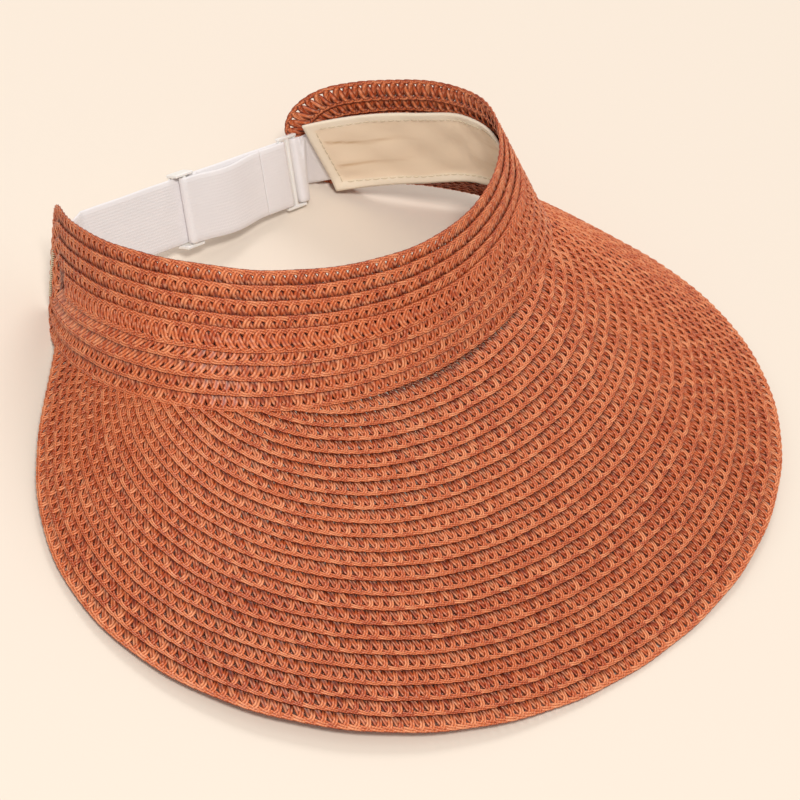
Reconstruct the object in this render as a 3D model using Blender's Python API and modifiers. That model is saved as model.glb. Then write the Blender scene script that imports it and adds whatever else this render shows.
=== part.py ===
"""A wide-brimmed, open-top sun visor of plaited paper-straw braid with an elastic strap behind.

It is worked out in the wearer's frame (front -Y, wearer's left +X, up +Z, the head's axis through the
origin) and then tipped and lifted by rested(), so that it lies on its brim's front edge and on the crown's
two ends, as on a table. Metres throughout.
"""
import math

import bmesh
import bpy
from mathutils import Matrix, Vector

# Braid: one row is what a length of braid shows beside the next one.
ROW = 0.0056
BRAID_THICK = 0.0016
GAP = 0.0003

# Crown band: nine rows, sewn as four nested loops round a centre strip.
CROWN_ROWS = 9
CROWN_HEIGHT = CROWN_ROWS * ROW
CROWN_LOOPS = CROWN_ROWS // 2
CROWN_END = math.radians(137.2)
CROWN_SLANT = math.radians(9.7)
CROWN_TOP_RADIUS = 0.0235
CROWN_BOTTOM_RADIUS = 0.0123
# The wall's lean inward in degrees, and how far its rows spread apart: terms in the cosines of 0, 1, 2 and 3
# times the angle from the front. The left end leans in further than the right one by twice CROWN_LEAN.
CROWN_FLARE = (16.0, 2.4, -3.4, -5.1)
CROWN_LEAN = 5.0
CROWN_SPREAD = (1.03, -0.061, 0.012)

# Seam between crown and brim, as seen from above: an oval, fuller at the sides, flatter in front.
SEAM_HALF_WIDTH = 0.099
SEAM_HALF_LENGTH = 0.090
SEAM_SQUARE = -0.002
SEAM_FLAT = 0.0125
SEAM_RISE = 0.0129
SEAM_SADDLE = -0.0098
CROWN_HALF_SPAN = CROWN_END * (SEAM_HALF_WIDTH + SEAM_HALF_LENGTH) / 2

# Brim: 23 rows parallel to its outer edge; the inner ones end where they meet the crown.
BRIM_ROWS = 23
BRIM_WIDTH = 0.131
BRIM_END = math.radians(121.7)
BRIM_BACK = math.radians(129.0)
BRIM_FULLNESS = (0.85, -1.59)
BRIM_DROOP = (39.4, -11.2, 15.3)
BRIM_TURN = math.radians(-15.0)
BRIM_CROWNING = 0.0015
BRIM_CLEAR = 0.0014
BRIM_TIP = 0.0015
STATION = math.radians(5.0)

# Sweatband: a strip inside the crown, standing off further where it covers the sewn ends of the elastic.
BAND_BOTTOM, BAND_TOP = 0.004, 0.0395
BAND_THICK = 0.0016
BAND_SHORTER = 0.0085

# Elastic: its middle line runs straight across the back between the crown's ends, a little higher at the
# right one, and its top edge leans back. The slider's travel leaves the face from STRAIGHT_FROM to BARE_TO bare.
ELASTIC_WIDTH = 0.026
ELASTIC_THICK = 0.0010
STRAP_Y, STRAP_Z = 0.0435, 0.0162
STRAP_RISE = math.radians(6.5)
STRAP_LEAN = math.radians(18.0)
HANG = Matrix.Rotation(STRAP_RISE, 3, "Y") @ Matrix.Rotation(-STRAP_LEAN, 3, "X")
SEWN_HEIGHT, SEWN_DROP = 0.0228, 0.0031
SEWN_FROM, SEWN_TO = math.radians(118.0), math.radians(134.0)
SEWN_CLEAR = 0.0007
BARTACK_ANGLE, BARTACK_DROP = math.radians(131.0), 0.003
TWIST_LATE = 2
STRAIGHT_FROM = -0.056
BARE_TO = -0.0475

# Ring (three bars) and slider (tri-glide), both moulded.
RING_X, RING_PITCH, RING_BAR = 0.052, 0.0040, 0.0014
SLIDER_X, SLIDER_PITCH = -0.005, 0.0035
SIDE_BAR, CENTRE_BAR = (0.0014, 0.0010), 0.0014
RAIL_CLEAR, RAIL_HEIGHT, RAIL_PROUD = 0.0005, 0.0012, 0.0003
EASE = 0.00025
FOLD_LENGTH, FOLD_GAP = 0.0050, 0.0005
LAYER = ELASTIC_THICK + GAP
WRAP = GAP + 0.0001 + ELASTIC_THICK / 2
RING_Y = STRAP_Y - RING_BAR / 2 - WRAP
TAIL = 0.008

# How it lies on a table.
REST_TILT = math.radians(18.2)
REST_SHIFT_Y = 0.07383
REST_LIFT = 0.01705

COLOURS = {
    "braid": ((0.60, 0.13, 0.045, 1), 0.75),
    "cotton": ((0.80, 0.68, 0.48, 1), 0.9),
    "elastic": ((0.86, 0.83, 0.82, 1), 0.8),
    "plastic": ((0.93, 0.92, 0.88, 1), 0.35),
}


def rested(point):
    """From the wearer's frame to the table's."""
    c, s = math.cos(REST_TILT), math.sin(REST_TILT)
    return Vector(
        (point.x, point.y * c + point.z * s + REST_SHIFT_Y, point.z * c - point.y * s + REST_LIFT)
    )


def hung(point):
    """From the elastic's own level frame to its place across the back."""
    pivot = Vector((0, STRAP_Y, STRAP_Z))
    return pivot + HANG @ (point - pivot)


def seam(phi):
    """The crown's lower edge at angle phi from the front."""
    return Vector((
        SEAM_HALF_WIDTH * math.sin(phi) + SEAM_SQUARE * math.sin(3 * phi),
        -SEAM_HALF_LENGTH * math.cos(phi) + SEAM_FLAT * (math.cos(2 * phi) - 1),
        SEAM_RISE * math.cos(phi) + SEAM_SADDLE * math.cos(2 * phi),
    ))


def outward(phi):
    """The level direction straight out of the seam."""
    step = 1e-4
    along = seam(phi + step) - seam(phi - step)
    return Vector((along.y, -along.x, 0)).normalized()


def wall_frame(phi):
    """(up, out) along and out of the crown's wall, which leans in by its flare."""
    degrees = sum(term * math.cos(k * phi) for k, term in enumerate(CROWN_FLARE))
    flare = math.radians(degrees + CROWN_LEAN * (phi / CROWN_END) ** 3)
    out = outward(phi)
    up = Vector((0, 0, math.cos(flare))) - out * math.sin(flare)
    return up, out * math.cos(flare) + Vector((0, 0, math.sin(flare)))


def wall(phi, height, out=0.0):
    """A point on the crown's wall, or out of it."""
    up, facing = wall_frame(phi)
    spread = sum(term * math.cos(k * phi) for k, term in enumerate(CROWN_SPREAD))
    return seam(phi) + up * height * spread + facing * out


def crown_angle(along, height):
    """The angle of a point that is `along` metres from the front: the band's ends slant."""
    share = along / CROWN_HALF_SPAN
    return share * (CROWN_END + CROWN_SLANT * (height / CROWN_HEIGHT - 0.5))


def brim_width(phi):
    s = min((phi / BRIM_END) ** 2, 1.0)
    return BRIM_WIDTH * (1 - s) * (1 + BRIM_FULLNESS[0] * s + BRIM_FULLNESS[1] * s * s)


def brim(phi, inset):
    """A point on the brim, `inset` metres in from its outer edge."""
    q = phi / BRIM_BACK
    width = max(brim_width(phi), 1e-5)
    r = 1 - inset / width
    turn = BRIM_TURN * q
    n = outward(phi)
    n = Vector((
        n.x * math.cos(turn) - n.y * math.sin(turn),
        n.x * math.sin(turn) + n.y * math.cos(turn),
        0,
    ))
    droop = math.radians(BRIM_DROOP[0] + BRIM_DROOP[1] * q * q + BRIM_DROOP[2] * q ** 4)
    point = seam(phi) + n * (width * r * math.cos(droop))
    point.z += BRIM_CROWNING * 4 * r * (1 - r) * width / BRIM_WIDTH - width * r * math.sin(droop)
    return point


def new_collection(name, hidden=False):
    collection = bpy.data.collections.new(name)
    bpy.context.scene.collection.children.link(collection)
    collection.hide_render = hidden
    return collection


def material(name):
    colour, roughness = COLOURS[name]
    made = bpy.data.materials.new(name)
    made.use_nodes = True
    shader = made.node_tree.nodes["Principled BSDF"]
    shader.inputs["Base Color"].default_value = colour
    shader.inputs["Roughness"].default_value = roughness
    made.diffuse_color = colour
    return made


def strip(name, stations, shape, thick, finish, closed=False, origin=Vector()):
    """A strip one quad wide, bent by shape(index, across), and given its thickness."""
    bm = bmesh.new()
    bmesh.ops.create_grid(bm, x_segments=stations, y_segments=1, size=0.5)
    for vert in bm.verts:
        vert.co = rested(shape(round((vert.co.x + 0.5) * stations), vert.co.y + 0.5)) - origin
    if closed:
        bmesh.ops.remove_doubles(bm, verts=bm.verts, dist=1e-6)
    mesh = bpy.data.meshes.new(name)
    bm.to_mesh(mesh)
    bm.free()
    made = bpy.data.objects.new(name, mesh)
    made.location = origin
    PARTS.objects.link(made)
    mesh.materials.append(MATERIALS[finish])
    solid = made.modifiers.new("Thickness", "SOLIDIFY")
    solid.thickness = thick
    solid.offset = 0
    solid.use_even_offset = True
    return made


def arc(centre, radius, start, end, steps):
    """Points of an arc from angle start to end, as (along, up) pairs."""
    for i in range(steps + 1):
        angle = start + (end - start) * i / steps
        yield centre[0] + radius * math.cos(angle), centre[1] + radius * math.sin(angle)


def crown_outline(inset):
    """The band's outline laid flat, that far inside its border, as (along, height) pairs."""
    half = CROWN_HALF_SPAN - inset
    low, high = inset, CROWN_HEIGHT - inset
    top = max(CROWN_TOP_RADIUS - inset, 0.0015)
    bottom = max(CROWN_BOTTOM_RADIUS - inset, 0.0015)
    spare = (high - low) * 0.48
    top, bottom = min(top, spare), min(bottom, spare)
    runs, turn = 44, math.pi / 2
    border = [(-half + bottom + (2 * half - 2 * bottom) * i / runs, low) for i in range(runs)]
    border += arc((half - bottom, low + bottom), bottom, -turn, 0, 4)
    border += arc((half - top, high - top), top, 0, turn, 6)
    border += [(half - top - (2 * half - 2 * top) * i / runs, high) for i in range(1, runs)]
    border += arc((-half + top, high - top), top, turn, 2 * turn, 6)
    border += list(arc((-half + bottom, low + bottom), bottom, 2 * turn, 3 * turn, 4))[:-1]
    return border


def build_crown():
    for loop in range(CROWN_LOOPS):
        outer = crown_outline(loop * ROW)
        inner = crown_outline((loop + 1) * ROW - GAP)

        def shape(i, across):
            (a, low), (b, high) = outer[i % len(outer)], inner[i % len(inner)]
            along, height = a + (b - a) * across, low + (high - low) * across
            return wall(crown_angle(along, height), height)

        name = f"crown_braid_{loop + 1}"
        strip(name, len(outer), shape, BRAID_THICK, "braid", closed=True)
    low = CROWN_LOOPS * ROW
    half = CROWN_HALF_SPAN - low - 0.001

    def centre(i, across):
        height = low + ROW * across
        return wall(crown_angle(-half + 2 * half * i / 44, height), height)

    strip(f"crown_braid_{CROWN_LOOPS + 1}", 44, centre, BRAID_THICK, "braid")


def row_reach(row):
    """The angle at which a brim row runs out against the crown."""
    low, high = 0.0, BRIM_END
    for _ in range(40):
        middle = (low + high) / 2
        if brim_width(middle) > row * ROW + BRIM_CLEAR + BRIM_TIP:
            low = middle
        else:
            high = middle
    return low


def build_brim():
    for row in range(BRIM_ROWS):
        reach = row_reach(row)
        count = int((reach - STATION / 4) / STATION)
        angles = [STATION * i for i in range(-count, count + 1)]
        angles = [-reach, *angles, reach]

        def shape(i, across):
            phi = angles[i]
            last = min((row + 1) * ROW - GAP, brim_width(phi) - BRIM_CLEAR)
            return brim(phi, row * ROW + (last - row * ROW) * across)

        strip(f"brim_braid_{row + 1:02}", len(angles) - 1, shape, BRAID_THICK, "braid")


def band_depth(phi):
    """How far inside the wall the sweatband's middle stands."""
    against = BRAID_THICK / 2 + SEWN_CLEAR + BAND_THICK / 2
    layers = 2 if phi > 0 else 1
    rise = min(max((abs(phi) - math.radians(95)) / math.radians(15), 0), 1)
    return against + layers * (LAYER + 0.0002) * rise * rise * (3 - 2 * rise)


def build_sweatband():
    half = CROWN_HALF_SPAN - BAND_SHORTER

    def shape(i, across):
        height = BAND_BOTTOM + (BAND_TOP - BAND_BOTTOM) * across
        phi = crown_angle(-half + 2 * half * i / 52, height)
        return wall(phi, height, -band_depth(phi))

    strip("sweatband", 52, shape, BAND_THICK, "cotton")


def sewn_height(phi):
    """The height on the wall of the sewn elastic's middle: the right end is sewn higher than the left."""
    return SEWN_HEIGHT - math.copysign(SEWN_DROP, phi)


def sewn(phi, layer):
    """(middle, up) of the elastic where it lies against the crown's wall, layer 0 or 1."""
    depth = BRAID_THICK / 2 + SEWN_CLEAR + ELASTIC_THICK / 2 + layer * LAYER
    return wall(phi, sewn_height(phi), -depth), wall_frame(phi)[0]


def bend(start, end, side, steps):
    """Stations between a sewn end and the straight run, along a smooth curve."""
    (a, up_a), (b, up_b) = start, end
    step = 1e-3
    leave = (sewn(side * (SEWN_TO + step), 0)[0] - sewn(side * SEWN_TO, 0)[0]).normalized()
    reach = (b - a).length * 0.25
    first, second = a + leave * reach, b + HANG @ Vector((side, 0, 0)) * reach
    for i in range(1, steps):
        t = i / steps
        point = a * (1 - t) ** 3 + first * 3 * t * (1 - t) ** 2 + second * 3 * t * t * (1 - t) + b * t ** 3
        yield point, up_a.lerp(up_b, t ** TWIST_LATE).normalized()


def level(x, y):
    return hung(Vector((x, y, STRAP_Z))), HANG @ Vector((0, 0, 1))


def elastic(name, path, origin=Vector()):
    """A length of elastic whose middle line follows path, a list of (middle, up)."""
    half = ELASTIC_WIDTH / 2

    def shape(i, across):
        middle, up = path[i]
        return middle + up * (half * (2 * across - 1))

    strip(name, len(path) - 1, shape, ELASTIC_THICK, "elastic", origin=origin)


def fold(x, y, side, radius, steps=8):
    """A half turn round a bar at x, y, open to the side it comes from."""
    for i in range(steps + 1):
        angle = math.pi / 2 - side * math.pi * i / steps
        yield level(x + radius * math.cos(angle), y + radius * math.sin(angle))


def ring_hinge():
    """The middle of the ring's outer bar, which turns in the ring tab."""
    return rested(hung(Vector((RING_X + RING_PITCH, RING_Y, STRAP_Z))))


def build_elastic():
    radius = RING_BAR / 2 + WRAP
    fold_x = RING_X - RING_PITCH - FOLD_LENGTH
    sewn_right = [sewn(-SEWN_FROM - (SEWN_TO - SEWN_FROM) * i / 4, 0) for i in range(5)]
    start = level(STRAIGHT_FROM, STRAP_Y)
    path = [*sewn_right, *bend(sewn_right[-1], start, -1, 6), start]
    path += [level(BARE_TO, STRAP_Y), level(fold_x, STRAP_Y)]
    elastic("elastic_strap", path)

    left = RING_X - RING_PITCH
    path = [level(fold_x + FOLD_GAP, STRAP_Y), *fold(left, RING_Y, 1, radius)]
    path += [level(fold_x + FOLD_GAP, RING_Y - radius)]
    elastic("strap_fold", path, ring_hinge())

    wrap = CENTRE_BAR / 2 + WRAP
    centre_y = STRAP_Y - LAYER - wrap
    path = [level(fold_x, RING_Y - radius), level(fold_x - 0.003, RING_Y - radius)]
    path += [level(SLIDER_X + 0.003, centre_y - wrap)]
    path += [*reversed(list(fold(SLIDER_X, centre_y, -1, wrap)))]
    path += [level(SLIDER_X + TAIL, centre_y + wrap)]
    elastic("strap_return", path)

    right = RING_X + RING_PITCH
    outer = [sewn(SEWN_FROM + (SEWN_TO - SEWN_FROM) * i / 4, 0) for i in range(5)]
    inner = [sewn(SEWN_FROM + (SEWN_TO - SEWN_FROM) * i / 4, 1) for i in range(5)]
    near, far = level(right + 0.0015, STRAP_Y), level(right + 0.0015, RING_Y - radius)
    path = [*outer, *bend(outer[-1], near, 1, 5), near, *fold(right, RING_Y, -1, radius)]
    path += [far, *reversed(list(bend(inner[-1], far, 1, 5))), *reversed(inner)]
    elastic("ring_tab", path)


def bar(bm, centre, size):
    """A box with these middle and sides, and eased edges."""
    bmesh.ops.create_cube(bm, size=1.0)
    for vert in bm.verts:
        vert.co = Vector(centre) + Vector([c * s for c, s in zip(vert.co, size)])
    bmesh.ops.bevel(bm, geom=bm.edges[:], offset=EASE, segments=1, affect="EDGES")


def moulded(name, bars, origin):
    """Bars joined into one moulding, its origin on its joint's line."""
    pieces = []
    for number, (centre, size) in enumerate(bars):
        bm = bmesh.new()
        bar(bm, centre, size)
        for vert in bm.verts:
            vert.co = rested(hung(vert.co)) - origin
        mesh = bpy.data.meshes.new(f"{name}_bar_{number}")
        bm.to_mesh(mesh)
        bm.free()
        piece = bpy.data.objects.new(name if number == 0 else mesh.name, mesh)
        piece.location = origin
        (PARTS if number == 0 else CUTTERS).objects.link(piece)
        pieces.append(piece)
    whole = pieces[0]
    whole.data.materials.append(MATERIALS["plastic"])
    for piece in pieces[1:]:
        piece.hide_render = True
        piece.display_type = "WIRE"
        join = whole.modifiers.new(f"Join {piece.name}", "BOOLEAN")
        join.operation = "UNION"
        join.object = piece


def build_ring():
    rail_z = ELASTIC_WIDTH / 2 + RAIL_CLEAR + RAIL_HEIGHT / 2
    tall = 2 * rail_z
    wide = 2 * RING_PITCH + RING_BAR + 2 * RAIL_PROUD
    thick = RING_BAR + 2 * RAIL_PROUD
    bars = [((RING_X, RING_Y, STRAP_Z + k * rail_z), (wide, thick, RAIL_HEIGHT)) for k in (-1, 1)]
    bars += [((RING_X + k * RING_PITCH, RING_Y, STRAP_Z), (RING_BAR, RING_BAR, tall)) for k in (-1, 0, 1)]
    moulded("strap_ring", bars, ring_hinge())


def build_slider():
    rail_z = ELASTIC_WIDTH / 2 + RAIL_CLEAR + RAIL_HEIGHT / 2
    side_y = STRAP_Y + ELASTIC_THICK / 2 + GAP + SIDE_BAR[1] / 2
    centre_y = STRAP_Y - LAYER - CENTRE_BAR / 2 - WRAP
    front, back = centre_y - CENTRE_BAR / 2 - RAIL_PROUD, side_y + SIDE_BAR[1] / 2 + RAIL_PROUD
    tall = 2 * rail_z
    wide = 2 * SLIDER_PITCH + SIDE_BAR[0] + 2 * RAIL_PROUD
    bars = [
        ((SLIDER_X, (front + back) / 2, STRAP_Z + k * rail_z), (wide, back - front, RAIL_HEIGHT))
        for k in (-1, 1)
    ]
    bars += [((SLIDER_X + k * SLIDER_PITCH, side_y, STRAP_Z), (*SIDE_BAR, tall)) for k in (-1, 1)]
    bars += [((SLIDER_X, centre_y, STRAP_Z), (CENTRE_BAR, CENTRE_BAR, tall))]
    moulded("strap_slider", bars, rested(hung(Vector((SLIDER_X, STRAP_Y, STRAP_Z)))))


def build_bartacks():
    """Short rows of thread on the crown's outer face, one through each sewn end."""
    half_tall, half_wide, thick = 0.009, 0.00125, 0.0005
    out = BRAID_THICK / 2 + GAP + thick / 2
    for side, name in ((-1, "bartack_right"), (1, "bartack_left")):
        middle = side * BARTACK_ANGLE
        spread = half_wide / (SEAM_HALF_LENGTH * side)

        def shape(i, across):
            height = sewn_height(side) - BARTACK_DROP + half_tall * (2 * i / 4 - 1)
            return wall(middle + spread * (1 - 2 * across) * side, height, out)

        strip(name, 4, shape, thick, "cotton")


for old in list(bpy.data.objects):
    bpy.data.objects.remove(old)
PARTS = new_collection("sun_visor")
CUTTERS = new_collection("joined_bars", hidden=True)
MATERIALS = {name: material(name) for name in COLOURS}
build_crown()
build_brim()
build_sweatband()
build_elastic()
build_ring()
build_slider()
build_bartacks()
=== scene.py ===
"""The finished look of a straw sun visor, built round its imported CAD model.

Shapes are worked out in the wearer's frame (front -Y, wearer's left +X, up +Z), as in the CAD model, and
tipped into the row frame by rested(). Lengths are in metres. The braid is plaited from single yarns.
"""
import math

import bpy
import numpy as np
from mathutils import Matrix, Vector


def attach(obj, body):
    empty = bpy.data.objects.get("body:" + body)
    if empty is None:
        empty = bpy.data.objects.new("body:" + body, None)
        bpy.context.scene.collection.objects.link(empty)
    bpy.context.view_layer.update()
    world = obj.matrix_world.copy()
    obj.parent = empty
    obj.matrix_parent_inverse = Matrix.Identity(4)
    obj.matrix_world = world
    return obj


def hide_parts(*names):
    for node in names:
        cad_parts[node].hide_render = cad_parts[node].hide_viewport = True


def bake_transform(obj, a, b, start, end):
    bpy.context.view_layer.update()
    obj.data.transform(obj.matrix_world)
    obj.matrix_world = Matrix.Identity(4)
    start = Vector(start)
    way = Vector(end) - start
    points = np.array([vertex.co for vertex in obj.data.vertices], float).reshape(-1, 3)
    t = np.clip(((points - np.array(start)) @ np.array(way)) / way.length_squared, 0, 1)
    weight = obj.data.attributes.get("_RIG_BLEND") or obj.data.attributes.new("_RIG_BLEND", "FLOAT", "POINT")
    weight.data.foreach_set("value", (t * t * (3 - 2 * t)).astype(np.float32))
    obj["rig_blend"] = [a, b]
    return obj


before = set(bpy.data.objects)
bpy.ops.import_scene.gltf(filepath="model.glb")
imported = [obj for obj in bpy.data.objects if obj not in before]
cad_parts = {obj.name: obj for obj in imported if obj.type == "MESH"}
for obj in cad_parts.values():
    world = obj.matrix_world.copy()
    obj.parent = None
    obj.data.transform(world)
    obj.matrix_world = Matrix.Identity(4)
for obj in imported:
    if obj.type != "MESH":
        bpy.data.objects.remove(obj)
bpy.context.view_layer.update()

# Dimensions shared with the CAD model.
ROW = 0.0056
CROWN_ROWS = 9
CROWN_HEIGHT = CROWN_ROWS * ROW
CROWN_LOOPS = CROWN_ROWS // 2
CROWN_END = math.radians(137.2)
CROWN_SLANT = math.radians(9.7)
CROWN_TOP_RADIUS = 0.0235
CROWN_BOTTOM_RADIUS = 0.0123
CROWN_FLARE = (16.0, 2.4, -3.4, -5.1)
CROWN_LEAN = 5.0
CROWN_SPREAD = (1.03, -0.061, 0.012)
SEAM_HALF_WIDTH = 0.099
SEAM_HALF_LENGTH = 0.090
SEAM_SQUARE = -0.002
SEAM_FLAT = 0.0125
SEAM_RISE = 0.0129
SEAM_SADDLE = -0.0098
CROWN_HALF_SPAN = CROWN_END * (SEAM_HALF_WIDTH + SEAM_HALF_LENGTH) / 2
BRIM_ROWS = 23
BRIM_WIDTH = 0.131
BRIM_END = math.radians(121.7)
BRIM_BACK = math.radians(129.0)
BRIM_FULLNESS = (0.85, -1.59)
BRIM_DROOP = (39.4, -11.2, 15.3)
BRIM_TURN = math.radians(-15.0)
BRIM_CROWNING = 0.0015
BAND_BOTTOM, BAND_TOP = 0.004, 0.0395
BAND_SHORTER = 0.0085
BAND_THICK = 0.0016
BRAID_THICK = 0.0016
GAP = 0.0003
ELASTIC_WIDTH = 0.026
ELASTIC_THICK = 0.0010
STRAP_Y, STRAP_Z = 0.0435, 0.0162
STRAP_RISE = math.radians(6.5)
STRAP_LEAN = math.radians(18.0)
HANG = Matrix.Rotation(STRAP_RISE, 3, "Y") @ Matrix.Rotation(-STRAP_LEAN, 3, "X")
SEWN_HEIGHT, SEWN_DROP = 0.0228, 0.0031
SEWN_FROM, SEWN_TO = math.radians(118.0), math.radians(134.0)
SEWN_CLEAR = 0.0007
BARTACK_ANGLE, BARTACK_DROP = math.radians(131.0), 0.003
STRAIGHT_FROM = -0.056
RING_X, RING_PITCH, RING_BAR = 0.052, 0.0040, 0.0014
SLIDER_X = -0.005
CENTRE_BAR = 0.0014
LAYER = ELASTIC_THICK + GAP
WRAP = GAP + 0.0001 + ELASTIC_THICK / 2
RING_Y = STRAP_Y - RING_BAR / 2 - WRAP
TAIL = 0.008
TWIST_LATE = 2
REST_TILT = math.radians(18.2)
REST_SHIFT_Y = 0.07383
REST_LIFT = 0.01705

# The plait: five yarns, each crossing from edge to edge, with a long turn at each edge.
STRANDS = 5
BRAID_WIDTH = 0.0075
PITCH = 0.0039
EDGE_TURN = 3.0
YARN_HALF_WIDTH = 0.00108
YARN_HALF_THICK = 0.00038
CROWN_WIDER = 1.26
YARN_WAVE = 0.00034
LAP_TILT = 0.0008
EDGE_NARROWER, EDGE_THICKER = 0.40, 0.25
EDGE_SWAY, EDGE_SWAY_LENGTH = 0.00012, 0.031
YARN_SWAY = 0.00025
# The brim's outermost cord is heavier than the others, over this width.
RIM_CORD, RIM_CORD_THICKER = 0.0022, 1.35
# The shade where the next row laps over starts this far from the lap, and deepens over LAP_SHADE.
LAP_FROM, LAP_SHADE = 0.0015, 0.0007
STATION = 0.0006
# Over (1) and under (-1) at a yarn's crossings, from the outer edge to the inner one and back.
CROSSINGS = np.array([0, -1, 1, -1, 1, 0, -1, 1, -1, 1, 0], float)
# A yarn's section, as shares of its half width and half thickness: two plies side by side.
YARN_SECTION = np.array(
    [(-1, -0.1), (-0.5, 1), (0, 0.05), (0.5, 1), (1, -0.1), (0, -0.8)], float
)
# How far round the yarn each of those points is.
YARN_ROUND = np.array([0, 0.17, 0.33, 0.5, 0.67, 0.83])
# How much each of those points shares in the row's outer face: 1 on top, less at the edges, -1 below.
FACING = np.array([0.6, 1, 1, 1, 0.6, -1])

# Where the brim passes under the crown's edge.
SEAM_SINK = 0.0004
SEAM_REACH = 0.004
MARGIN, MARGIN_TURN = 0.0048, 0.003
MARGIN_DEPTH = 0.0016
# The centre strip's ends dip under the innermost loop by this much, over this length.
TUCK_DEPTH, TUCK_LENGTH = 0.0032, 0.010

# The cloth, the elastic and the threads.
CLOTH_THICK = 0.0009
HEM, HEM_RISE, HEM_STEP = 0.0036, 0.0003, 0.0008
BAND_FOOT = 0.0010
BAND_FOOT_HEIGHT = 0.007
CREASE_WIDTH, CREASE_DEPTH = 0.0006, 0.0003
GROOVE_WIDTH, GROOVE_DEPTH = 0.0005, 0.00028
STITCH, STITCH_PITCH, STITCH_RADIUS = 0.0025, 0.0031, 0.00019
STITCH_BOW, STITCH_SUNK, STITCH_INSET = 0.00034, 0.00012, 0.0003
RETURN_FROM = 0.035
RETURN_BOW, RETURN_SAG = 0.0018, 0.0009
BARTACK_TALL, BARTACK_WIDE, BARTACK_OUT = 0.018, 0.0026, 0.0018
BARTACK_TURNS, BARTACK_THREAD, BARTACK_DIP = 44, 0.00021, 0.0012

rng = np.random.default_rng(11)


def rested(p):
    """Points (n, 3) from the wearer's frame to the row frame."""
    c, s = math.cos(REST_TILT), math.sin(REST_TILT)
    x, y, z = np.asarray(p, float).T
    return np.stack([x, y * c + z * s + REST_SHIFT_Y, z * c - y * s + REST_LIFT], 1)


def unit(v):
    """Rows of v at length 1."""
    return v / np.maximum(np.linalg.norm(v, axis=-1, keepdims=True), 1e-12)


def smooth(t):
    """An easy step from 0 at t = 0 to 1 at t = 1."""
    t = np.clip(t, 0.0, 1.0)
    return t * t * (3 - 2 * t)


def seam(phi):
    """The crown's lower edge at angles phi from the front."""
    return np.stack([
        SEAM_HALF_WIDTH * np.sin(phi) + SEAM_SQUARE * np.sin(3 * phi),
        -SEAM_HALF_LENGTH * np.cos(phi) + SEAM_FLAT * (np.cos(2 * phi) - 1),
        SEAM_RISE * np.cos(phi) + SEAM_SADDLE * np.cos(2 * phi),
    ], 1)


def outward(phi):
    """Level directions square out of the seam."""
    dx = SEAM_HALF_WIDTH * np.cos(phi) + 3 * SEAM_SQUARE * np.cos(3 * phi)
    dy = SEAM_HALF_LENGTH * np.sin(phi) - 2 * SEAM_FLAT * np.sin(2 * phi)
    return unit(np.stack([dy, -dx, np.zeros_like(phi)], 1))


def wall_frame(phi):
    """(up, out) along and out of the crown's wall, which leans in by its flare."""
    degrees = sum(term * np.cos(k * phi) for k, term in enumerate(CROWN_FLARE))
    flare = np.radians(degrees + CROWN_LEAN * (phi / CROWN_END) ** 3)[:, None]
    out, z = outward(phi), np.array([[0, 0, 1.0]])
    return z * np.cos(flare) - out * np.sin(flare), out * np.cos(flare) + z * np.sin(flare)


def wall(phi, height, out=0.0):
    """Points on the crown's wall, or that far out of it."""
    up, facing = wall_frame(phi)
    spread = sum(term * np.cos(k * phi) for k, term in enumerate(CROWN_SPREAD))
    return seam(phi) + up * (height * spread)[:, None] + facing * np.reshape(out, (-1, 1))


def crown_angle(along, height):
    """The angle from the front at a point of the band laid flat."""
    share = along / CROWN_HALF_SPAN
    return share * (CROWN_END + CROWN_SLANT * (height / CROWN_HEIGHT - 0.5))


def brim_width(phi):
    """From the seam to the outer edge. Past the brim's ends it is negative."""
    s = (phi / BRIM_END) ** 2
    full = np.minimum(s, 1)
    return BRIM_WIDTH * (1 - s) * (1 + BRIM_FULLNESS[0] * full + BRIM_FULLNESS[1] * full ** 2)


def brim(phi, inset):
    """Points on the brim, `inset` in from its outer edge. Past the seam it turns up inside the crown."""
    q = phi / BRIM_BACK
    width = np.maximum(brim_width(phi), 1e-5)
    reach = brim_width(phi) - inset
    on_brim = np.maximum(reach, 0)
    r = on_brim / width
    turn = BRIM_TURN * q
    n = outward(phi)
    n = np.stack([
        n[:, 0] * np.cos(turn) - n[:, 1] * np.sin(turn),
        n[:, 0] * np.sin(turn) + n[:, 1] * np.cos(turn),
        np.zeros_like(phi),
    ], 1)
    droop = np.radians(BRIM_DROOP[0] + BRIM_DROOP[1] * q ** 2 + BRIM_DROOP[2] * q ** 4)
    point = seam(phi) + n * (on_brim * np.cos(droop))[:, None]
    point[:, 2] += BRIM_CROWNING * 4 * r * (1 - r) * width / BRIM_WIDTH - on_brim * np.sin(droop)
    point[:, 2] -= SEAM_SINK * np.exp(-(reach / SEAM_REACH) ** 2)
    up, facing = wall_frame(phi)
    past = np.maximum(-reach, 0)[:, None]
    return point + up * past - facing * MARGIN_DEPTH * smooth(past / MARGIN_TURN)


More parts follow.
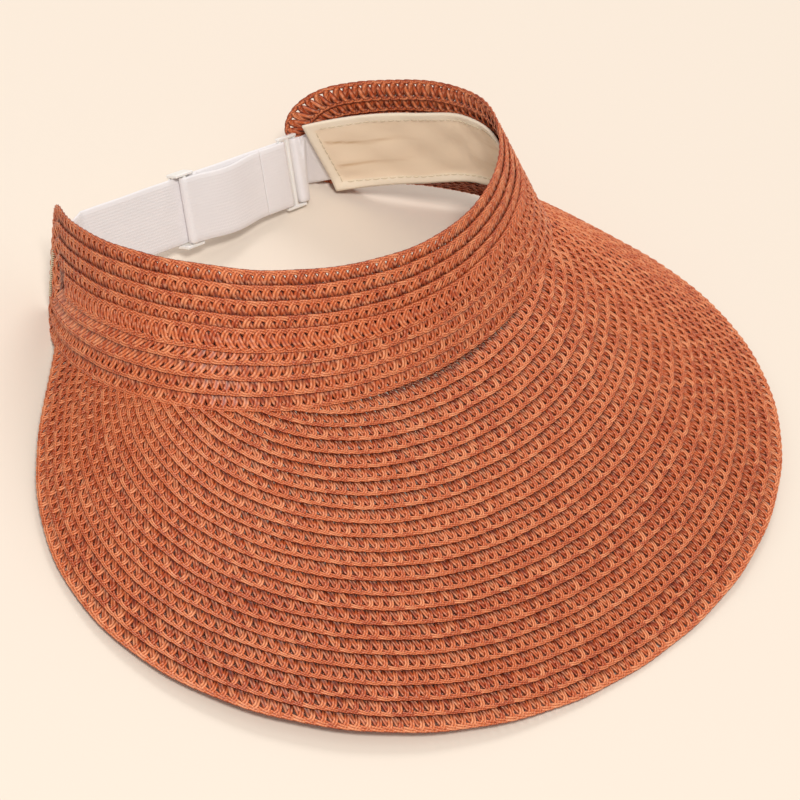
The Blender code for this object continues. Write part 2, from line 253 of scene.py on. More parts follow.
def crown_outline(segment, share, inset):
    """Points (along, height) of the band laid flat, that far inside its border."""
    half = CROWN_HALF_SPAN - inset
    low, high = inset, CROWN_HEIGHT - inset
    spare = (high - low) * 0.48
    top = np.minimum(np.maximum(CROWN_TOP_RADIUS - inset, 0.0015), spare)
    bottom = np.minimum(np.maximum(CROWN_BOTTOM_RADIUS - inset, 0.0015), spare)

    def turned(t):
        """How far round a corner is along it and up it, as shares of its radius."""
        return np.sin(t * math.pi / 2), np.cos(t * math.pi / 2)

    def bottom_left(t):
        sine, cosine = turned(t)
        return -half + bottom - bottom * cosine, low + bottom - bottom * sine

    def bottom_right(t):
        sine, cosine = turned(t)
        return half - bottom + bottom * sine, low + bottom - bottom * cosine

    def top_right(t):
        sine, cosine = turned(t)
        return half - top + top * cosine, high - top + top * sine

    def top_left(t):
        sine, cosine = turned(t)
        return -half + top - top * sine, high - top + top * cosine

    runs = [
        lambda t: (-half + bottom + 2 * (half - bottom) * t, low),
        bottom_right,
        lambda t: (half, low + bottom + (high - low - top - bottom) * t),
        top_right,
        lambda t: (half - top - 2 * (half - top) * t, high),
        top_left,
        lambda t: (-half, high - top - (high - low - top - bottom) * t),
        bottom_left,
    ]
    along, height = np.zeros_like(inset), np.zeros_like(inset)
    for number, run in enumerate(runs):
        a, h = run(share)
        here = segment == number
        along, height = np.where(here, a, along), np.where(here, h, height)
    return along, height


def by_length(surface, start, end, samples=1600):
    """(length, t of s): how long surface's middle line is, and its parameter at a distance along it."""
    t = np.linspace(start, end, samples)
    line = surface(t, np.full_like(t, BRAID_WIDTH / 2))
    along = np.concatenate([[0], np.cumsum(np.linalg.norm(np.diff(line, axis=0), axis=1))])
    return along[-1], lambda s: np.interp(s, along, t)


def waver(s, size, lengths=(0.011, 0.029, 0.083)):
    """A small smooth unevenness along s."""
    total = np.zeros_like(s)
    for length in lengths:
        total += np.sin(2 * math.pi * (s / (length * rng.uniform(0.8, 1.25)) + rng.random()))
    return total * size / len(lengths)


class Tubes:
    """Closed tubes gathered into one mesh, each swept along its own line."""

    def __init__(self):
        self.verts, self.quads, self.caps, self.attributes, self.count = [], [], [], {}, 0

    def add(self, centre, right, up, section, closed=False, **attributes):
        """A tube along centre, whose section is (x, y) points along right and up."""
        n, m = len(centre), section.shape[-2]
        x, y = np.broadcast_to(section[..., 0], (n, m)), np.broadcast_to(section[..., 1], (n, m))
        rings = centre[:, None] + right[:, None] * x[..., None] + up[:, None] * y[..., None]
        self.add_rings(rings, closed, **attributes)

    def add_rings(self, rings, closed=False, **attributes):
        """A tube through rings of points (n, m, 3)."""
        n, m = rings.shape[:2]
        self.verts.append(rings.reshape(-1, 3))
        rows = n if closed else n - 1
        i, j = np.arange(rows)[:, None] * m, np.arange(m)[None]
        after, k = (np.arange(1, rows + 1)[:, None] % n) * m, (j + 1) % m
        quads = np.stack([i + j, i + k, after + k, after + j], -1).reshape(-1, 4)
        self.quads.append(quads + self.count)
        if not closed:
            self.caps.append(np.arange(m)[::-1] + self.count)
            self.caps.append(np.arange(m) + self.count + (n - 1) * m)
        for name, values in attributes.items():
            values = np.asarray(values, float)
            if values.ndim < 2:
                values = np.broadcast_to(values.reshape(-1, 1), (n, m))
            self.attributes.setdefault(name, []).append(np.broadcast_to(values, (n, m)).ravel())
        self.count += n * m

    def build(self, name):
        """The tubes as one object, smooth along their sides and sharp at their ends."""
        verts = rested(np.concatenate(self.verts))
        quads = np.concatenate(self.quads)
        loops = np.concatenate([quads.ravel(), *self.caps]).astype(np.int32)
        sizes = np.array([4] * len(quads) + [len(cap) for cap in self.caps])
        mesh = bpy.data.meshes.new(name)
        mesh.vertices.add(len(verts))
        mesh.vertices.foreach_set("co", verts.ravel().astype(np.float32))
        mesh.loops.add(len(loops))
        mesh.loops.foreach_set("vertex_index", loops)
        mesh.polygons.add(len(sizes))
        starts = np.concatenate([[0], np.cumsum(sizes)[:-1]]).astype(np.int32)
        mesh.polygons.foreach_set("loop_start", starts)
        mesh.polygons.foreach_set("use_smooth", np.arange(len(sizes)) < len(quads))
        mesh.update(calc_edges=True)
        for key, parts in self.attributes.items():
            made = mesh.attributes.new(key, "FLOAT", "POINT")
            made.data.foreach_set("value", np.concatenate(parts).astype(np.float32))
        made = bpy.data.objects.new(name, mesh)
        bpy.context.scene.collection.objects.link(made)
        return made


def dressed(piece, material):
    """Gives a piece this one material."""
    piece.data.materials.clear()
    piece.data.materials.append(material)


def finished(piece, body, slot, material, *nodes):
    """Gives a piece its material and body, and hides the CAD nodes it stands for."""
    dressed(piece, material)
    if body:
        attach(piece, body)
    if nodes:
        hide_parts(*nodes)
    return piece


def plait(
    name, surface, start, end, closed=False, tilt=LAP_TILT, extra=None, beyond=None, thicker=1.0, wider=1.0
):
    """One row of braid on surface(t, across), where across runs from 0 at its outer edge.

    extra(s, length) lifts the row; beyond(t, across) is true where a yarn has been cut off. thicker is for
    the cord at the outer edge, and wider for every yarn.
    """
    length, parameter = by_length(surface, start, end)
    cycle = STRANDS * PITCH
    if closed:
        cycle = length / round(length / cycle)
    count = round(length / STATION)
    phase, tubes, nudge = rng.random(), Tubes(), 1e-4
    # The second draw is not used; it keeps every later draw as it is.
    edge_phase = rng.random(2)[0]
    for strand in range(STRANDS):
        s = np.arange(count) * length / count if closed else np.linspace(0, length, count)
        theta = (s / cycle + strand / STRANDS + phase) % 1.0
        turn = np.cos(2 * math.pi * theta)
        swing = turn * (1 + EDGE_TURN) / (1 + EDGE_TURN * np.abs(turn))
        across = BRAID_WIDTH * (0.5 - 0.5 * swing)
        across = across + EDGE_SWAY * np.sin(2 * math.pi * (s / EDGE_SWAY_LENGTH + edge_phase))
        step = theta * 2 * STRANDS
        before = np.floor(step).astype(int) % (2 * STRANDS)
        share = 0.5 - 0.5 * np.cos(math.pi * (step - np.floor(step)))
        depth = CROSSINGS[before] * (1 - share) + CROSSINGS[before + 1] * share
        sway = 0.0 if closed else waver(s, YARN_SWAY)
        t = parameter(np.clip(s + sway, 0, length))

        def at(ds, du):
            moved = (s + sway + ds) % length if closed else s + sway + ds
            return surface(parameter(moved), across + du)

        point = surface(parameter(s % length if closed else s + sway), across)
        normal = unit(np.cross(at(nudge, 0) - at(-nudge, 0), at(0, nudge) - at(0, -nudge)))
        lift = YARN_WAVE * depth + tilt * (1 - 2 * across / BRAID_WIDTH)
        lift = lift + (extra(s, length) if extra else 0)
        centre = point + normal * lift[:, None]
        if closed:
            forward = unit(np.roll(centre, -1, 0) - np.roll(centre, 1, 0))
        else:
            forward = unit(np.gradient(centre, axis=0))
        right = unit(np.cross(forward, normal))
        up = np.cross(right, forward)
        size = np.array([YARN_HALF_WIDTH * wider, YARN_HALF_THICK]) * (1 + 0.04 * rng.standard_normal())
        outer_cord = 1 + (thicker - 1) * smooth(1 - across / RIM_CORD)
        bunched = np.stack([1 - EDGE_NARROWER * swing ** 4, 1 + EDGE_THICKER * swing ** 4], 1)
        section = YARN_SECTION[None] * (size * bunched * outer_cord[:, None])[:, None]
        shade = np.clip(0.5 + 0.22 * rng.standard_normal() + waver(s, 0.3), 0, 1)
        kept = np.ones(count, bool) if beyond is None else ~beyond(t, across)
        # lapped: how far under the next row's edge the yarn lies, for the painted shadow there.
        lapped = smooth((across - ROW + LAP_FROM) / LAP_SHADE) if tilt else np.zeros(count)
        # sunk runs from over (-1) to under (1) at the crossings, and drives painted shade where a yarn
        # passes under another.
        values = {
            "tint": shade, "along": s, "sunk": -depth[:, None] * FACING,
            "lapped": lapped[:, None] * np.maximum(FACING, 0),
        }
        if closed:
            tubes.add(centre, right, up, section, True, round=YARN_ROUND[None], **values)
            continue
        edges = np.flatnonzero(np.diff(np.concatenate([[0], kept.astype(int), [0]])))
        for a, b in zip(edges[::2], edges[1::2]):
            if b - a > 3:
                part = {key: value[a:b] for key, value in values.items()}
                tubes.add(centre[a:b], right[a:b], up[a:b], section[a:b], round=YARN_ROUND[None], **part)
    return tubes.build(name)


def new_material(name):
    made = bpy.data.materials.new(name)
    made.use_nodes = True
    nodes, links = made.node_tree.nodes, made.node_tree.links
    return made, nodes, links, nodes["Principled BSDF"]


def maths(nodes, links, kind, a, b=None):
    """A Math node of two sockets or numbers; returns its output."""
    node = nodes.new("ShaderNodeMath")
    node.operation = kind
    for socket, value in zip(node.inputs, (a, b)):
        if isinstance(value, (int, float)):
            socket.default_value = value
        elif value is not None:
            links.new(value, socket)
    return node.outputs[0]


def attribute(nodes, name):
    node = nodes.new("ShaderNodeAttribute")
    node.attribute_name = name
    return node.outputs["Fac"]


def noise(nodes, scale, detail):
    node = nodes.new("ShaderNodeTexNoise")
    node.inputs["Scale"].default_value = scale
    node.inputs["Detail"].default_value = detail
    node.inputs["Roughness"].default_value = 0.55
    coordinates = nodes.new("ShaderNodeTexCoord")
    nodes.id_data.links.new(coordinates.outputs["Object"], node.inputs["Vector"])
    return node.outputs["Fac"]


def ramp(nodes, links, value, *stops):
    node = nodes.new("ShaderNodeValToRGB")
    links.new(value, node.inputs[0])
    elements = node.color_ramp.elements
    while len(elements) < len(stops):
        elements.new(0.5)
    for element, (place, colour) in zip(elements, stops):
        element.position = place
        element.color = (*colour, 1)
    return node.outputs["Color"]


def mixed(nodes, links, kind, share, a, b):
    """A colour Mix node of two sockets or colours; returns its output."""
    node = nodes.new("ShaderNodeMix")
    node.data_type = "RGBA"
    node.blend_type = kind
    for socket, value in ((node.inputs[0], share), (node.inputs[6], a), (node.inputs[7], b)):
        if isinstance(value, (int, float)):
            socket.default_value = value
        elif isinstance(value, tuple):
            socket.default_value = (*value, 1)
        else:
            links.new(value, socket)
    return node.outputs[2]


def tinted(nodes, links, value, share, base, colour, kind="MULTIPLY"):
    """base, blended with colour by share of value."""
    return mixed(nodes, links, kind, maths(nodes, links, "MULTIPLY", value, share), base, colour)


def centred(nodes, links, value, size):
    """A 0 to 1 value moved to swing by size about nothing."""
    return maths(nodes, links, "MULTIPLY", maths(nodes, links, "SUBTRACT", value, 0.5), size)


def bump(nodes, links, shader, height, strength, distance):
    """Fine relief in the shading, up to distance high."""
    node = nodes.new("ShaderNodeBump")
    node.inputs["Strength"].default_value = strength
    node.inputs["Distance"].default_value = distance
    links.new(height, node.inputs["Height"])
    links.new(node.outputs["Normal"], shader.inputs["Normal"])


def wave(nodes, links, value, pitch, offset=0.0):
    """0 to 1 and back every `pitch` of value."""
    turns = maths(nodes, links, "DIVIDE", value, pitch)
    if not isinstance(offset, float) or offset:
        turns = maths(nodes, links, "ADD", turns, offset)
    angle = maths(nodes, links, "MULTIPLY", turns, 2 * math.pi)
    sine = maths(nodes, links, "SINE", angle)
    return maths(nodes, links, "MULTIPLY", maths(nodes, links, "ADD", sine, 1.0), 0.5)


def straw_material():
    """Two-ply paper yarn: terracotta, each yarn its own shade, with painted shade in the creases between
    plies, under the crossings and where the next row laps over, and a painted highlight on the twist.
    """
    made, nodes, links, shader = new_material("paper_straw")
    along, around = attribute(nodes, "along"), attribute(nodes, "round")
    twist = wave(nodes, links, along, 0.00095, around)
    ply = wave(nodes, links, around, 1 / 3, -0.25)
    grain = noise(nodes, 2600, 2.0)
    patches = noise(nodes, 60, 2.0)
    shade = maths(nodes, links, "ADD", attribute(nodes, "tint"), centred(nodes, links, grain, 1.1))
    shade = maths(nodes, links, "ADD", shade, centred(nodes, links, patches, 0.4))
    colour = ramp(
        nodes, links, shade,
        (0.05, (0.54, 0.088, 0.020)), (0.5, (0.76, 0.180, 0.052)), (0.95, (0.92, 0.33, 0.14)),
    )
    # Painted shade in the crease between the two plies of each yarn.
    crease = maths(nodes, links, "POWER", maths(nodes, links, "SUBTRACT", 1.0, ply), 1.6)
    colour = tinted(nodes, links, crease, 0.80, colour, (0.34, 0.15, 0.09))
    # Painted shade on each yarn where it passes under another.
    painted_under_shade = maths(nodes, links, "MULTIPLY", maths(nodes, links, "ADD", attribute(nodes, "sunk"), 1.0), 0.5)
    colour = tinted(nodes, links, painted_under_shade, 0.45, colour, (0.42, 0.20, 0.13))
    # Painted shadow where the next row laps over this one.
    colour = tinted(nodes, links, attribute(nodes, "lapped"), 0.9, colour, (0.16, 0.06, 0.04))
    # Painted highlight: a lighter tone on the crests of the twist along each ply.
    glint = maths(nodes, links, "MULTIPLY", maths(nodes, links, "POWER", twist, 3.0), ply)
    colour = tinted(nodes, links, glint, 0.38, colour, (0.95, 0.52, 0.33), "MIX")
    links.new(colour, shader.inputs["Base Color"])
    shader.inputs["Roughness"].default_value = 0.40
    shader.inputs["Specular IOR Level"].default_value = 0.40
    shader.inputs["Sheen Weight"].default_value = 0.05
    shader.inputs["Sheen Roughness"].default_value = 0.4
    relief = maths(nodes, links, "MULTIPLY", twist, 0.8)
    height = maths(nodes, links, "ADD", relief, maths(nodes, links, "MULTIPLY", grain, 0.6))
    bump(nodes, links, shader, height, 0.6, 0.00014)
    return made


def cloth_material(name, colour, hem_colour):
    """A fine plain weave: threads along and across, a little uneven, paler at the turned hems."""
    made, nodes, links, shader = new_material(name)
    along, height = attribute(nodes, "along"), attribute(nodes, "wide")
    warp, weft = wave(nodes, links, along, 0.00042), wave(nodes, links, height, 0.00042)
    weave = maths(nodes, links, "MULTIPLY", warp, weft)
    slub = noise(nodes, 900, 3.0)
    stain = noise(nodes, 38, 4.0)
    base = mixed(nodes, links, "MIX", attribute(nodes, "hem"), colour, hem_colour)
    base = tinted(nodes, links, stain, 0.30, base, (0.88, 0.80, 0.68))
    base = tinted(nodes, links, weave, 0.16, base, (0.70, 0.62, 0.52))
    # Painted shade along the folds in the cloth.
    base = mixed(nodes, links, "MULTIPLY", attribute(nodes, "crease"), base, (0.66, 0.50, 0.32))
    links.new(base, shader.inputs["Base Color"])
    shader.inputs["Roughness"].default_value = 0.88
    shader.inputs["Sheen Weight"].default_value = 0.25
    shader.inputs["Sheen Roughness"].default_value = 0.5
    bump(nodes, links, shader, maths(nodes, links, "ADD", weave, slub), 0.45, 0.00012)
    return made


def elastic_material():
    """Woven elastic: fine ribs along it, tiny weft steps across it, cool white."""
    made, nodes, links, shader = new_material("elastic_tape")
    along, across = attribute(nodes, "along"), attribute(nodes, "wide")
    ribs = wave(nodes, links, across, 0.0012)
    steps = wave(nodes, links, along, 0.0008, ribs)
    fuzz = noise(nodes, 1400, 3.0)
    soft = noise(nodes, 30, 2.0)
    base = mixed(nodes, links, "MIX", soft, (0.90, 0.865, 0.87), (0.82, 0.79, 0.80))
    base = tinted(nodes, links, steps, 0.10, base, (0.72, 0.70, 0.72))
    links.new(base, shader.inputs["Base Color"])
    shader.inputs["Roughness"].default_value = 0.72
    shader.inputs["Sheen Weight"].default_value = 0.2
    relief = maths(nodes, links, "ADD", maths(nodes, links, "MULTIPLY", steps, 0.5), fuzz)
    height = maths(nodes, links, "ADD", maths(nodes, links, "MULTIPLY", ribs, 0.8), relief)
    bump(nodes, links, shader, height, 0.35, 0.00012)
    return made


def plastic_material():
    """Moulded nylon: near white, with a faint unevenness from the mould."""
    made, nodes, links, shader = new_material("moulded_plastic")
    base = mixed(nodes, links, "MIX", noise(nodes, 160, 2.0), (0.93, 0.915, 0.89), (0.86, 0.845, 0.82))
    links.new(base, shader.inputs["Base Color"])
    shader.inputs["Roughness"].default_value = 0.32
    shader.inputs["Subsurface Weight"].default_value = 0.15
    shader.inputs["Subsurface Radius"].default_value = (0.002, 0.0018, 0.0015)
    shader.inputs["Subsurface Scale"].default_value = 0.5
    bump(nodes, links, shader, noise(nodes, 500, 2.0), 0.12, 0.0002)
    return made


def thread_material():
    """Cotton thread, cream, with its twist."""
    made, nodes, links, shader = new_material("cotton_thread")
    twist = wave(nodes, links, attribute(nodes, "along"), 0.0004, attribute(nodes, "round"))
    base = mixed(nodes, links, "MIX", twist, (0.60, 0.49, 0.33), (0.80, 0.70, 0.53))
    links.new(base, shader.inputs["Base Color"])
    shader.inputs["Roughness"].default_value = 0.7
    bump(nodes, links, shader, twist, 0.4, 0.00006)
    return made


def build_crown(material):
    """Nested closed loops of braid round one centre strip."""
    runs, samples = 8, 64
    for loop in range(CROWN_LOOPS):
        middle = np.full(samples, loop * ROW + BRAID_WIDTH / 2)
        lengths = []
        for number in range(runs):
            a, h = crown_outline(np.full(samples, number), np.linspace(0, 1, samples), middle)
            lengths.append(np.hypot(np.diff(a), np.diff(h)).sum())
        breaks = np.concatenate([[0], np.cumsum(lengths)]) / sum(lengths)

        def surface(t, across):
            segment = np.clip(np.searchsorted(breaks, t, side="right") - 1, 0, runs - 1)
            share = (t - breaks[segment]) / (breaks[segment + 1] - breaks[segment])
            along, height = crown_outline(segment, share, loop * ROW + across)
            return wall(crown_angle(along, height), height)

        piece = plait(f"crown_row_{loop + 1}", surface, 0.0, 1.0, closed=True, wider=CROWN_WIDER)
        finished(piece, "visor", "braid", material, f"crown_braid_{loop + 1}")

    low = CROWN_LOOPS * ROW + (ROW - BRAID_WIDTH) / 2
    half = CROWN_HALF_SPAN - CROWN_LOOPS * ROW

    def centre(t, across):
        height = low + (BRAID_WIDTH - across)
        return wall(crown_angle(-t, height), height)

    def tucked(s, length):
        near_end = np.minimum(s, length - s)
        return LAP_TILT * 0.9 - TUCK_DEPTH * (1 - smooth(near_end / TUCK_LENGTH))

    name = f"crown_row_{CROWN_LOOPS + 1}"
    piece = plait(name, centre, -half, half, tilt=0.0, extra=tucked, wider=CROWN_WIDER)
    finished(piece, "visor", "braid", material, f"crown_braid_{CROWN_LOOPS + 1}")


def build_brim(material):
    """Rows side by side in from the outer edge, each cut off where it is well inside the crown."""
    for row in range(BRIM_ROWS):
        angles = np.linspace(0, BRIM_END * 1.09, 4000)
        gone = brim_width(angles) - row * ROW < -MARGIN
        reach = angles[np.argmax(gone)] if gone.any() else angles[-1]

        def surface(t, across):
            return brim(t, row * ROW + across)

        def beyond(t, across):
            return row * ROW + across - brim_width(t) > MARGIN

        thicker = RIM_CORD_THICKER if row == 0 else 1.0
        piece = plait(f"brim_row_{row + 1:02}", surface, -reach, reach, beyond=beyond, thicker=thicker)
        finished(piece, "visor", "braid", material, f"brim_braid_{row + 1:02}")


def band_depth(phi):
    """How far inside the wall the sweatband's middle stands, as in the CAD model."""
    against = BRAID_THICK / 2 + SEWN_CLEAR + BAND_THICK / 2
    layers = np.where(phi > 0, 2, 1)
    return against + layers * (LAYER + 0.0002) * smooth((np.abs(phi) - math.radians(95)) / math.radians(15))


def crease(x, width):
    """1 on a line, fading to 0 within about `width` of it."""
    return np.exp(-(x / width) ** 2)


def band_surface(along, height):
    """(points, hem, crease) of the sweatband's inner face at arrays of along and height."""
    half = CROWN_HALF_SPAN - BAND_SHORTER
    phi = crown_angle(along, height)
    edge = np.minimum(np.minimum(height - BAND_BOTTOM, BAND_TOP - height), half - np.abs(along))
    hem = 1 - smooth((edge - HEM + HEM_STEP / 2) / HEM_STEP)
    tall = BAND_TOP - BAND_BOTTOM
    folds = np.zeros_like(along)
    for share, phase in ((0.34, 0.7), (0.66, 2.9)):
        line = BAND_BOTTOM + tall * share + 0.0011 * np.sin(along / 0.013 + phase)
        line = line + 0.0008 * np.sin(along / 0.0047 + 2 * phase)
        shown = 0.45 + 0.55 * np.sin(along / 0.019 + 3 * phase)
        folds = folds + crease(height - line, CREASE_WIDTH) * np.clip(shown, 0, 1)
    folds = folds * smooth((edge - HEM) / 0.002)
    puff = 0.00030 * np.sin(along / 0.0075 + height / 0.006) * np.sin(height / tall * 9.0)
    puff = puff + 0.00022 * np.sin(along / 0.0031 - height / 0.004 + 1.0)
    inward = HEM_RISE * hem - GROOVE_DEPTH * crease(edge - HEM, GROOVE_WIDTH) - CREASE_DEPTH * folds
    inward = inward + puff * smooth(edge / 0.006)
    inward = inward + BAND_FOOT * (1 - smooth((height - BAND_BOTTOM) / BAND_FOOT_HEIGHT))
    depth = band_depth(phi) + CLOTH_THICK / 2 + inward
    return wall(phi, height, -depth), hem, folds


def build_sweatband(cloth, thread):
    """A turned strip of cotton inside the crown, hemmed and stitched all round."""
    half = CROWN_HALF_SPAN - BAND_SHORTER
    stations, rises = 340, 34
    x = np.linspace(-half, half, stations)
    h = BAND_BOTTOM + (BAND_TOP - BAND_BOTTOM) * np.linspace(0, 1, rises)
    along, height = (grid.ravel() for grid in np.meshgrid(x, h, indexing="ij"))
    inner, hem, folds = band_surface(along, height)
    outer = inner + wall_frame(crown_angle(along, height))[1] * CLOTH_THICK
    shape = (stations, rises)

    def wrapped(front, back=None):
        """Values round the strip's section: up its inner face and down its outer one."""
        back = front if back is None else back
        return np.concatenate([front.reshape(*shape, -1), back.reshape(*shape, -1)[:, ::-1]], 1)

    strip = Tubes()
    strip.add_rings(
        wrapped(inner, outer), along=wrapped(along)[..., 0], wide=wrapped(height)[..., 0],
        hem=wrapped(hem)[..., 0], crease=wrapped(folds)[..., 0],
    )
    band = finished(strip.build("sweatband_cloth"), "visor", "sweatband", cloth, "sweatband")

    stitches = Tubes()
    inset = HEM - STITCH_INSET
    long_run, short_run = 2 * (half - inset), BAND_TOP - BAND_BOTTOM - 2 * inset
    runs = [
        (long_run, lambda s: (-half + inset + s, np.full_like(s, BAND_BOTTOM + inset))),
        (long_run, lambda s: (-half + inset + s, np.full_like(s, BAND_TOP - inset))),
        (short_run, lambda s: (np.full_like(s, half - inset), BAND_BOTTOM + inset + s)),
        (short_run, lambda s: (np.full_like(s, -half + inset), BAND_BOTTOM + inset + s)),
    ]
    for length, run in runs:
        for start in np.arange(0, length - STITCH, STITCH_PITCH):
            share = np.linspace(0, 1, 5)
            a, z = run(start + STITCH * share)
            facing = wall_frame(crown_angle(a, z))[1]
            bow = STITCH_BOW * np.sin(math.pi * share) - STITCH_SUNK
            points = band_surface(a, z)[0] - facing * bow[:, None]
            round_tube(stitches, points, facing, STITCH_RADIUS)
    made = finished(stitches.build("sweatband_stitches"), "visor", "thread", thread)


def round_tube(tubes, points, side, radius, sides=6):
    """A round thread through points."""
    forward = unit(np.gradient(points, axis=0))
    right = unit(np.cross(forward, side))
    up = np.cross(right, forward)
    angle = np.arange(sides) * 2 * math.pi / sides
    section = np.stack([np.cos(angle), np.sin(angle)], 1) * radius
    along = np.concatenate([[0], np.cumsum(np.linalg.norm(np.diff(points, axis=0), axis=1))])
    tubes.add(points, right, up, section, along=along, round=np.arange(sides)[None] / sides)


def hung(points):
    """From the elastic's own level frame to its place across the back."""
    pivot = np.array([0, STRAP_Y, STRAP_Z])
    return pivot + (points - pivot) @ np.array(HANG).T


def sewn(phi, layer):
    """(middle, up) rows of the elastic against the crown's wall, layer 0 or 1."""
    depth = BRAID_THICK / 2 + SEWN_CLEAR + ELASTIC_THICK / 2 + layer * LAYER
    height = SEWN_HEIGHT - np.copysign(SEWN_DROP, phi)
    return np.stack([wall(phi, height, -depth), wall_frame(phi)[0]], 1)


def level(x, y, drop=0.0):
    """(middle, up) rows of the elastic at x, y of its level frame."""
    x, y, drop = np.broadcast_arrays(np.atleast_1d(x), y, drop)
    points = hung(np.stack([x, y, STRAP_Z - drop], 1))
    return np.stack([points, np.broadcast_to(np.array(HANG)[:, 2], points.shape)], 1)


def bend(start, end, side, layer=0, steps=24):
    """Stations between a sewn end and the straight run, along a smooth curve."""
    (a, up_a), (b, up_b) = start, end
    far, close = sewn(side * np.array([SEWN_TO + 1e-3, SEWN_TO]), layer)[:, 0]
    reach = np.linalg.norm(b - a) * 0.25
    first = a + unit(far - close) * reach
    second = b + np.array(HANG)[:, 0] * side * reach
    t = (np.arange(1, steps) / steps)[:, None]
    left = 1 - t
    point = a * left ** 3 + first * 3 * t * left ** 2 + second * 3 * t * t * left + b * t ** 3
    return np.stack([point, unit(up_a + (up_b - up_a) * t ** TWIST_LATE)], 1)


def fold(x, y, side, radius, steps=18):
    """A half turn round a bar at x, y of the level frame, open to the side it comes from."""
    angle = math.pi / 2 - side * math.pi * np.linspace(0, 1, steps + 1)
    return level(x + radius * np.cos(angle), y + radius * np.sin(angle))


def tape(name, *stretches):
    """A length of elastic whose middle line follows the stretches of (middle, up) rows."""
    path = np.concatenate(stretches)
    middle, up = path[:, 0], path[:, 1]
    forward = unit(np.gradient(middle, axis=0))
    face = unit(np.cross(up, forward))
    half, thick, edge = ELASTIC_WIDTH / 2, ELASTIC_THICK / 2, 0.0005
    wide = np.concatenate([[-half], np.linspace(-half + edge, half - edge, 15), [half]])
    deep = np.concatenate([[thick * 0.3], np.full(15, thick), [thick * 0.3]])
    wide, deep = np.concatenate([wide, wide[::-1]]), np.concatenate([deep, -deep[::-1]])
    along = np.concatenate([[0], np.cumsum(np.linalg.norm(np.diff(middle, axis=0), axis=1))])
    scallop = 1 + 0.004 * np.sin(2 * math.pi * along / 0.0016)
    deep = np.broadcast_to(deep, (len(along), len(deep)))
    section = np.stack([wide[None] * scallop[:, None], deep], 2)
    tubes = Tubes()
    tubes.add(middle, up, face, section, along=along, wide=wide[None])
    return tubes.build(name)


def build_elastic(material):
    """The strap with its fold round the ring, its return to the slider, and the tab that holds the ring."""
    sewn_angles = np.radians(np.linspace(math.degrees(SEWN_FROM), math.degrees(SEWN_TO), 14))
    radius = RING_BAR / 2 + WRAP
    left, right = RING_X - RING_PITCH, RING_X + RING_PITCH
    inner_y = RING_Y - radius

    sewn_right, start = sewn(-sewn_angles, 0), level(STRAIGHT_FROM, STRAP_Y)
    run = level(np.linspace(STRAIGHT_FROM, left, 70), STRAP_Y)[:-1]
    back = level(np.linspace(left, RETURN_FROM, 16)[1:], inner_y)
    strap = tape(
        "elastic_main", sewn_right, bend(sewn_right[-1], start[0], -1), run,
        fold(left, RING_Y, 1, radius), back,
    )
    finished(strap, None, "elastic", material, "elastic_strap", "strap_fold")
    ends = [rested(level(x, STRAP_Y)[:, 0])[0] for x in (RETURN_FROM + 0.001, left)]
    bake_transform(strap, "visor", "ring", start=tuple(ends[0]), end=tuple(ends[1]))

    wrap = CENTRE_BAR / 2 + WRAP
    centre_y = STRAP_Y - LAYER - wrap
    share = np.linspace(0, 1, 60)
    x = RETURN_FROM + (SLIDER_X - RETURN_FROM) * share
    slack = np.sin(math.pi * share) ** 2
    y = inner_y + (centre_y - wrap - inner_y) * smooth(share) - RETURN_BOW * slack
    doubled = level(x, y, RETURN_SAG * slack)[:-1]
    turned = fold(SLIDER_X, centre_y, -1, wrap)[::-1]
    tail = level(np.linspace(SLIDER_X, SLIDER_X + TAIL, 10)[1:], centre_y + wrap)
    doubled = tape("elastic_return", doubled, turned, tail)
    finished(doubled, None, "elastic", material, "strap_return")
    ends = [rested(level(x, STRAP_Y)[:, 0])[0] for x in (RETURN_FROM, SLIDER_X + 0.004)]
    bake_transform(doubled, "visor", "slider", start=tuple(ends[0]), end=tuple(ends[1]))

    outer, inner = sewn(sewn_angles, 0), sewn(sewn_angles, 1)
    near, far = (level(right + 0.0015, y)[0] for y in (STRAP_Y, inner_y))
    tab = tape(
        "elastic_tab", outer, bend(outer[-1], near, 1), near[None], fold(right, RING_Y, -1, radius),
        far[None], bend(inner[-1], far, 1, layer=1)[::-1], inner[::-1],
    )
    finished(tab, "visor", "elastic", material, "ring_tab")


def build_bartacks(material):
    """A dense zigzag of thread through the braid and the elastic, one at each sewn end."""
    for side, name in ((-1, "right"), (1, "left")):
        tubes = Tubes()
        step = np.arange(BARTACK_TURNS * 6 + 1) / 6
        swing = np.arcsin(np.sin(math.pi * step)) / (math.pi / 2)
        middle = SEWN_HEIGHT - side * SEWN_DROP - BARTACK_DROP
        height = middle + BARTACK_TALL * (step / BARTACK_TURNS - 0.5)
        phi = side * BARTACK_ANGLE + swing * BARTACK_WIDE / 2 / SEAM_HALF_LENGTH
        facing = wall_frame(phi)[1]
        out = BARTACK_OUT - BARTACK_DIP * swing ** 8
        round_tube(tubes, wall(phi, height, out), facing, BARTACK_THREAD)
        finished(tubes.build(f"bartack_thread_{name}"), "visor", "thread", material, f"bartack_{name}")


def dress_mouldings(material):
    """The ring and the slider keep their CAD shapes."""
    for node in ("strap_ring", "strap_slider"):
        dressed(bpy.data.objects[node], material)


def light(name, place, aim, size, power, colour):
    """A soft round lamp at place, turned to aim."""
    data = bpy.data.lights.new(name, "AREA")
    data.shape, data.size, data.energy, data.color = "DISK", size, power, colour
    made = bpy.data.objects.new(name, data)
    made.location = place
    made.rotation_euler = (Vector(aim) - Vector(place)).to_track_quat("-Z", "Y").to_euler()
    bpy.context.scene.collection.objects.link(made)


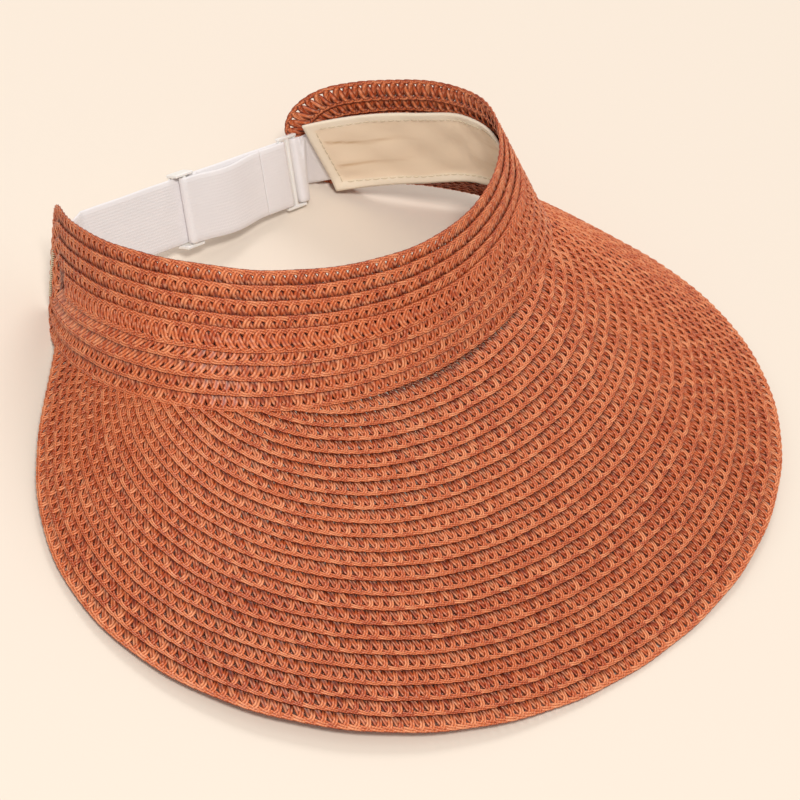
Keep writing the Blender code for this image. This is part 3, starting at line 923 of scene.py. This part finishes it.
def build_studio():
    """A plain floor, an even surround and two soft lamps."""
    bpy.ops.mesh.primitive_plane_add(size=8.0, location=(0, 0, 0))
    floor = bpy.context.object
    floor.name = "floor"
    made, _, _, shader = new_material("pale_paper")
    shader.inputs["Base Color"].default_value = (0.82, 0.73, 0.635, 1)
    shader.inputs["Roughness"].default_value = 0.95
    shader.inputs["Specular IOR Level"].default_value = 0.0
    floor.data.materials.append(made)
    world = bpy.data.worlds.new("studio")
    bpy.context.scene.world = world
    world.use_nodes = True
    background = world.node_tree.nodes["Background"]
    background.inputs["Color"].default_value = (1.0, 0.97, 0.94, 1)
    background.inputs["Strength"].default_value = 0.54
    light("key", (-1.3, -0.9, 2.6), (0, 0, 0.03), 0.55, 54, (1.0, 0.97, 0.93))
    light("rim", (1.4, 1.2, 2.2), (0, 0, 0.03), 1.0, 20, (1.0, 0.98, 0.96))


def build_camera():
    """The camera is ahead of the wearer's right temple, above it and a long way off."""
    azimuth, elevation, distance = math.radians(-46.55), math.radians(33.03), 1.31357
    target, side_step = Vector((0, -0.05435, -0.02941)), 0.00869
    right = Vector((math.cos(azimuth), math.sin(azimuth), 0))
    back = Vector((
        math.sin(azimuth) * math.cos(elevation),
        -math.cos(azimuth) * math.cos(elevation),
        math.sin(elevation),
    ))
    up = back.cross(right)
    place = target + right * side_step + back * distance
    worn = Matrix((right, up, back)).transposed().to_4x4()
    worn.translation = place
    tip = Matrix.Rotation(-REST_TILT, 4, "X")
    tip.translation = (0, REST_SHIFT_Y, REST_LIFT)
    data = bpy.data.cameras.new("camera")
    data.lens, data.sensor_width = 156.7, 36.0
    camera = bpy.data.objects.new("camera", data)
    camera.matrix_world = tip @ worn
    bpy.context.scene.collection.objects.link(camera)
    bpy.context.scene.camera = camera


bpy.context.scene.view_settings.view_transform = "Standard"
straw = straw_material()
build_camera()
build_crown(straw)
build_brim(straw)
cotton = cloth_material("sweatband_cotton", (0.94, 0.775, 0.59), (0.97, 0.87, 0.72))
thread = thread_material()
build_sweatband(cotton, thread)
build_elastic(elastic_material())
build_bartacks(thread)
dress_mouldings(plastic_material())
build_studio()
